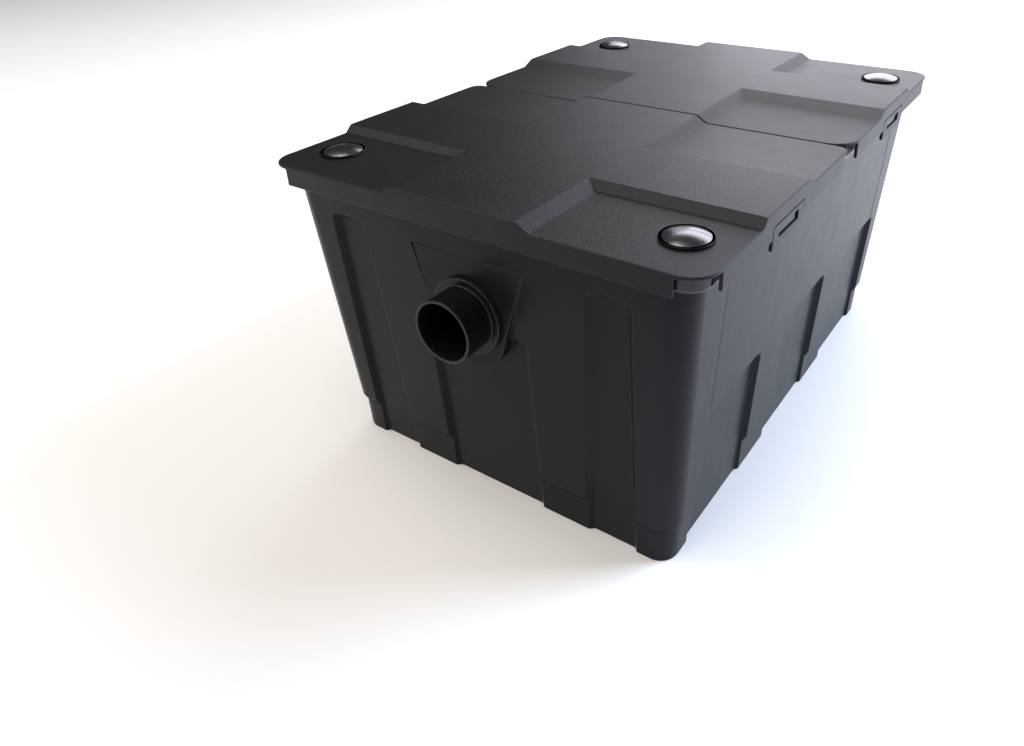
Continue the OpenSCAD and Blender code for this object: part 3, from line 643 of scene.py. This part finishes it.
def threaded_bulkhead(name, node, bore, thread_r, flange_r, flange_y0, flange_y1):
    """A bulkhead along Y with a real helical thread each side of its flange."""
    low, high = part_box(node)
    centre_x, centre_z = (low.x + high.x) / 2, (low.z + high.z) / 2
    pitch, depth, sides, step = 0.003, 0.0009, 72, 0.00075
    chamfer, lead_in, end_drop, fade_length, running_gap = 0.0006, 0.0008, 0.0012, 0.002, 0.00002
    build = bmesh.new()
    rings = []

    def ring(y, radius_at):
        rings.append([
            build.verts.new((
                centre_x + radius_at(2 * math.pi * k / sides, y) * math.cos(2 * math.pi * k / sides), y,
                centre_z + radius_at(2 * math.pi * k / sides, y) * math.sin(2 * math.pi * k / sides),
            )) for k in range(sides)
        ])

    def plain(r):
        return lambda a, y: r

    def thread(a, y):
        phase = (y / pitch - a / (2 * math.pi)) % 1
        to_end = min(y - low.y, high.y - y, abs(y - flange_y0), abs(y - flange_y1))
        fade = min(1, to_end / fade_length)
        return thread_r - running_gap - depth * abs(2 * phase - 1) * max(0, fade)

    def run(y0, y1):
        count = max(2, round((y1 - y0) / step))
        for i in range(count + 1):
            ring(y0 + (y1 - y0) * i / count, thread)

    ring(low.y, plain(bore))
    ring(low.y, plain(thread_r - end_drop))
    run(low.y + lead_in, flange_y0)
    for y, r in ((flange_y0, flange_r - chamfer), (flange_y0 + chamfer, flange_r),
                 (flange_y1 - chamfer, flange_r), (flange_y1, flange_r - chamfer)):
        ring(y, plain(r))
    run(flange_y1, high.y - lead_in)
    ring(high.y, plain(thread_r - end_drop))
    ring(high.y, plain(bore + chamfer))
    ring(high.y - chamfer, plain(bore))
    rings.append(rings[0])
    for low_ring, high_ring in zip(rings, rings[1:]):
        for k in range(sides):
            n = (k + 1) % sides
            build.faces.new((low_ring[k], low_ring[n], high_ring[n], high_ring[k]))
    ob = finished(build, name, "filter_tank", pipe_plastic, [node])
    ob.data.set_sharp_from_angle(angle=math.radians(35))


threaded_bulkhead("inlet_threaded_stub", "inlet_bulkhead", bore=0.019, thread_r=0.024, flange_r=0.036,
                  flange_y0=0.376, flange_y1=0.381)
moulded("inlet_gasket", "inlet_washer", 0.0004, "filter_tank", seal_rubber)
moulded("inlet_lock_nut", "inlet_ring_nut", 0.0009, "filter_tank", pipe_plastic)
moulded("inlet_o_ring", "inlet_sealing_ring", 0.0008, "filter_tank", seal_rubber, steps=3)
moulded("inlet_hose_tail", "stepped_hose_tail", 0.0005, "filter_tank", pipe_plastic)
nut_plastic = plastic("nut_plastic", (0.01, 0.01, 0.01), 0.4, 0.4, 0.7, 0.00003)
moulded("inlet_union_nut", "ribbed_union_nut", 0.0007, "union_nut_body", nut_plastic)

# ---- drain ---------------------------------------------------------------------------
# A low threaded outlet for sludge on the rear wall, shut by a ribbed screw cap
# with a flat rubber seal inside; the cap spins off by hand.

threaded_bulkhead("drain_threaded_stub", "drain_bulkhead", bore=0.0165, thread_r=0.021, flange_r=0.030,
                  flange_y0=0.362, flange_y1=0.367)
moulded("drain_gasket", "drain_washer", 0.0004, "filter_tank", seal_rubber)
moulded("drain_lock_nut", "drain_ring_nut", 0.0009, "filter_tank", pipe_plastic)
moulded("drain_cap_seal", "drain_flat_seal", 0.0005, "drain_cap_body", seal_rubber)
moulded("drain_cap", "ribbed_drain_cap", 0.0008, "drain_cap_body", nut_plastic, steps=3)

# ---- lids ------------------------------------------------------------------------------
# Two moulded lids of the same black plastic with a spark-grained top; each has
# a raised cross that stiffens it, sloping shoulders and a thin upright skirt.

# Lids: painted highlight lines along the edges and a lilac painted cast in the reflections; the grey specks
# are dust.
lid_plastic = plastic("lid_plastic", (0.009, 0.009, 0.0096), 0.38, 0.21, 1.2, 0.0004, dust=0.14, painted_highlight_share=0.35,
                      tint=(0.86, 0.84, 0.97))
for end in ("front", "rear"):
    moulded(end + "_lid", end + "_lid_cover", 0.0015, end + "_lid_body", lid_plastic, steps=3)

# ---- latches ---------------------------------------------------------------------------
# A windowed snap tab in each long skirt clips over a catch on the tank's rim and
# bends outwards, hinging on the thin plastic above it, to let the lid go.

for corner in ("front_left", "front_right", "rear_left", "rear_right"):
    moulded(corner + "_latch", corner + "_snap_tab", 0.0008, corner + "_latch_body",
            lid_plastic)

# ---- caps over the lid screws --------------------------------------------------------------
# A stainless hex-socket screw sits in a black moulded cup at each corner of the
# lids, and a pressed, chromed dome snaps in over it.


def bright_chrome(name):
    """Pressed and plated sheet, satin-bright, with faint smears and a softly uneven skin."""
    skin = Skin(name)
    skin.shader.inputs["Metallic"].default_value = 1.0
    smear = skin.noise(70.0, 6.0, 0.7, distortion=0.6)
    share = skin.spread(smear, 0.35, 0.7, 0.0, 1.0)
    skin.feed("Base Color", skin.blend(share, (0.2, 0.195, 0.215), (0.25, 0.245, 0.27)))
    skin.feed("Roughness", skin.spread(smear, 0.3, 0.7, 0.2, 0.27))
    skin.bump(smear, 0.3, 0.00001)
    return skin.material


dome_sheet = 0.0012
dome_steps = 14
dome_sides = 96


def pressed_dome(build, centre, radius, height):
    """A shallow dome turned about Z with its edge rolled under."""
    sphere = (radius ** 2 + height ** 2) / (2 * height)
    profile = []
    for i in range(dome_steps + 1):
        r = radius * 0.985 * i / dome_steps
        profile.append((r, math.sqrt(sphere ** 2 - r ** 2) - sphere + height))
    profile += [(radius * 0.997, 0.0005), (radius, 0.0001), (radius - 0.0004, 0.0), (radius - 0.0012, 0.0001)]
    for i in range(dome_steps - 1, -1, -1):
        r = (radius - dome_sheet) * 0.985 * i / dome_steps
        profile.append((r, math.sqrt(sphere ** 2 - r ** 2) - sphere + height - dome_sheet))
    rings = []
    for r, z in profile:
        if r == 0:
            rings.append([build.verts.new(centre + Vector((0, 0, z)))])
        else:
            rings.append([
                build.verts.new(centre + Vector((r * math.cos(a), r * math.sin(a), z)))
                for a in (2 * math.pi * k / dome_sides for k in range(dome_sides))
            ])
    for first, second in zip(rings, rings[1:]):
        for k in range(dome_sides):
            n = (k + 1) % dome_sides
            loop = [first[k % len(first)], second[k % len(second)]]
            if len(second) > 1:
                loop.append(second[n])
            if len(first) > 1:
                loop.append(first[n])
            build.faces.new(loop)


chrome = bright_chrome("bright_chrome")
cup_plastic = plastic("cup_plastic", (0.006, 0.006, 0.006), 0.34, 0.22, 1.2, 0.00001)
screw_steel = drawn_steel("screw_steel", (500.0, 500.0, 120.0))
for end in ("front", "rear"):
    body = end + "_lid_body"
    moulded(end + "_lid_cap_collars", end + "_screw_cups", 0.0005, body, cup_plastic,
            steps=3)
    moulded(end + "_lid_screws", end + "_socket_screws", 0.0004, body, screw_steel)
    for side in ("left", "right"):
        node = "%s_%s_dome_cap" % (end, side)
        low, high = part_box(node)
        dome = bmesh.new()
        centre = Vector(((low.x + high.x) / 2, (low.y + high.y) / 2, low.z))
        pressed_dome(dome, centre, (high.x - low.x) / 2, high.z - low.z)
        finished(dome, "%s_%s_chrome_dome" % (end, side), body, chrome, [node])
